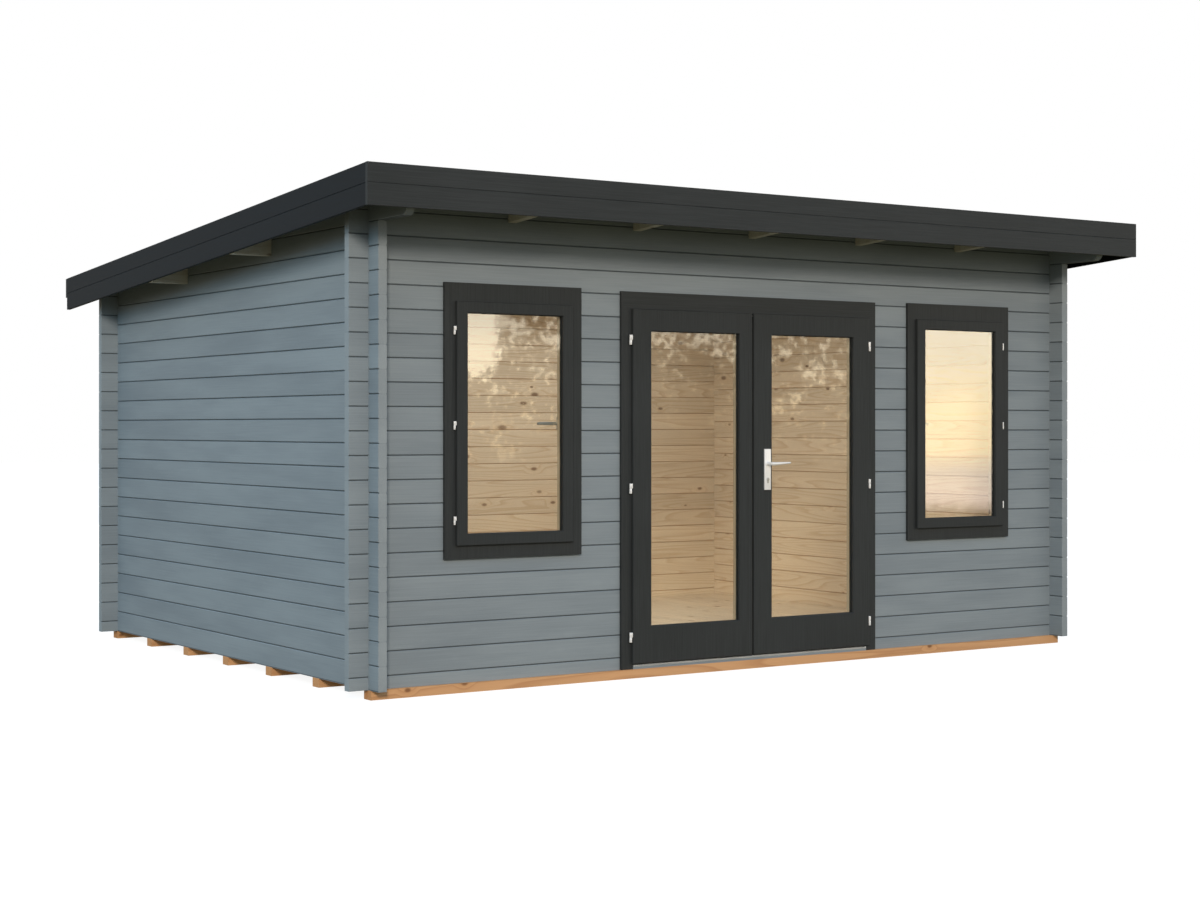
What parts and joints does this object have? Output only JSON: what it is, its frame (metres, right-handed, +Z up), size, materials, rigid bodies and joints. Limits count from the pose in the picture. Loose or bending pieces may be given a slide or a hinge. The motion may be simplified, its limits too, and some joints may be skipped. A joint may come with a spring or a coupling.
{
  "type": "garden office pod",
  "caption": "Log-built garden office with a low mono-pitch roof, glazed double doors, a lever handle and casement windows, standing on timber bearers.",
  "frame": {"origin": "plan centre of the log walls at ground level, on the underside of the middle bearer", "axes": "+X to the right seen from the front, +Y to the back, +Z up; the doors are in the wall at -Y"},
  "size_m": [4.942, 3.958, 2.432],
  "materials": {
    "painted_logs": "blue-grey paint on planed spruce logs, bare inside",
    "charcoal_wood": "satin charcoal paint on planed wood",
    "bearer_wood": "pressure-treated brown softwood",
    "floor_wood": "bare pine boards",
    "roof_wood": "bare spruce",
    "roof_sheet": "matt dark roofing sheet",
    "clear_glass": "clear float glass",
    "hinge_chrome": "polished",
    "handle_metal": "satin",
    "sill_wood": "grey painted hardwood",
    "threshold_metal": "anodised"
  },
  "bodies": {
    "cabin": {"front_wall_left_corner_pier": "painted_logs", "front_wall_left_under_window": "painted_logs", "front_wall_left_beside_door": "painted_logs", "front_wall_right_corner_pier": "painted_logs", "front_wall_right_under_window": "painted_logs", "front_wall_right_beside_door": "painted_logs", "front_wall_over_openings": "painted_logs", "back_wall": "painted_logs", "left_wall": "painted_logs", "right_wall": "painted_logs", "left_top_log": "painted_logs", "right_top_log": "painted_logs", "front_fascia_upper": "charcoal_wood", "front_fascia_lower": "charcoal_wood", "left_fascia_upper": "charcoal_wood", "left_fascia_lower": "charcoal_wood", "right_fascia_upper": "charcoal_wood", "right_fascia_lower": "charcoal_wood", "back_fascia": "charcoal_wood", "left_window_frame": "charcoal_wood", "right_window_frame": "charcoal_wood", "left_window_sash": "charcoal_wood", "right_window_sash": "charcoal_wood", "left_door_jamb": "charcoal_wood", "right_door_jamb": "charcoal_wood", "door_head": "charcoal_wood", "bearers": "bearer_wood", "floor": "floor_wood", "purlins": "roof_wood", "eave_rafters": "roof_wood", "roof_deck": "roof_wood", "roof_covering": "roof_sheet", "window_glass": "clear_glass", "window_hinges": "hinge_chrome", "door_hinge_pins": "hinge_chrome", "window_handles": "handle_metal", "door_sill": "sill_wood", "threshold": "threshold_metal"},
    "left_door": {"left_door_leaf": "charcoal_wood", "left_door_glass": "clear_glass", "left_door_hinges": "hinge_chrome"},
    "right_door": {"right_door_leaf": "charcoal_wood", "right_door_glass": "clear_glass", "right_door_hinges": "hinge_chrome", "handle_plates": "handle_metal"},
    "door_lever": {"door_lever": "handle_metal"}
  },
  "joints": [
    {"name": "left_door_hinge", "type": "hinge", "parent": "cabin", "child": "left_door", "pos_m": [-0.792, -1.676, 0.956], "axis": [0, 0, -1], "range_deg": [0, 100]},
    {"name": "right_door_hinge", "type": "hinge", "parent": "cabin", "child": "right_door", "pos_m": [0.792, -1.676, 0.956], "axis": [0, 0, 1], "range_deg": [0, 100]},
    {"name": "lever_turn", "type": "hinge", "parent": "right_door", "child": "door_lever", "pos_m": [0.073, -1.684, 1.071], "axis": [0, 1, 0], "range_deg": [0, 40], "stiffness_Nm_per_rad": 2.5, "springref_deg": -20.05}
  ]
}
